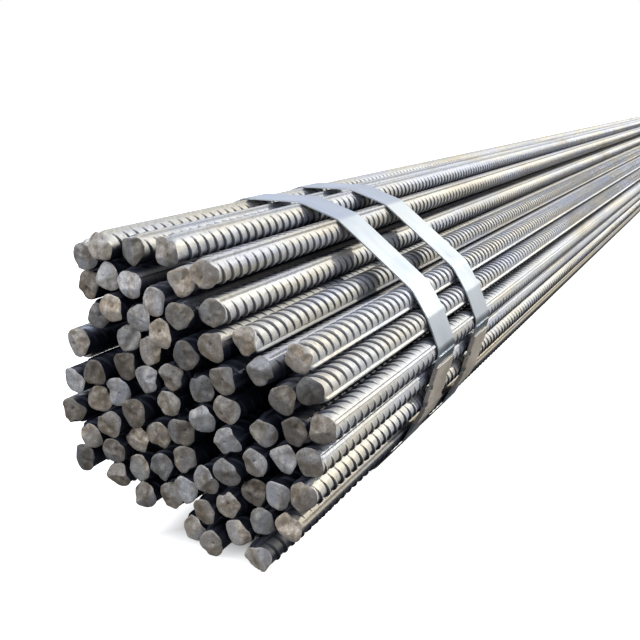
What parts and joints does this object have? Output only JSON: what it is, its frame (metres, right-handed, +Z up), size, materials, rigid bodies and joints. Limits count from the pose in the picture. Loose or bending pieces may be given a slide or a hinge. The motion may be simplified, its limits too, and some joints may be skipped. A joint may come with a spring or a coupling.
{
  "type": "rebar bundle",
  "caption": "Bundle of ribbed steel reinforcing bars held together near its ends by flat steel straps with crimped seals, lying on the floor.",
  "frame": {"origin": "middle of the bundle's length and width, on the floor it lies on", "axes": "+X along the bars away from the end that is shown, +Y to the left seen from that end, +Z up"},
  "size_m": [6.0608, 0.2033, 0.1903],
  "materials": {
    "bar_steel": "hot-rolled mill finish, dull grey with light rust on the sheared ends",
    "strap_steel": "bright zinc-coated strapping, smooth and glossy",
    "seal_steel": "dull zinc-coated sheet, crimped"
  },
  "bodies": {
    "root": {"bar_layer_01": "bar_steel", "bar_layer_02": "bar_steel", "bar_layer_03": "bar_steel", "bar_layer_04": "bar_steel", "bar_layer_05": "bar_steel", "bar_layer_06": "bar_steel", "bar_layer_07": "bar_steel", "bar_layer_08": "bar_steel", "bar_layer_09": "bar_steel", "bar_layer_10": "bar_steel", "set_back_bars": "bar_steel", "strap_1": "strap_steel", "strap_2": "strap_steel", "strap_3": "strap_steel", "strap_4": "strap_steel", "seal_1": "seal_steel", "seal_2": "seal_steel", "seal_3": "seal_steel", "seal_4": "seal_steel"}
  },
  "joints": []
}
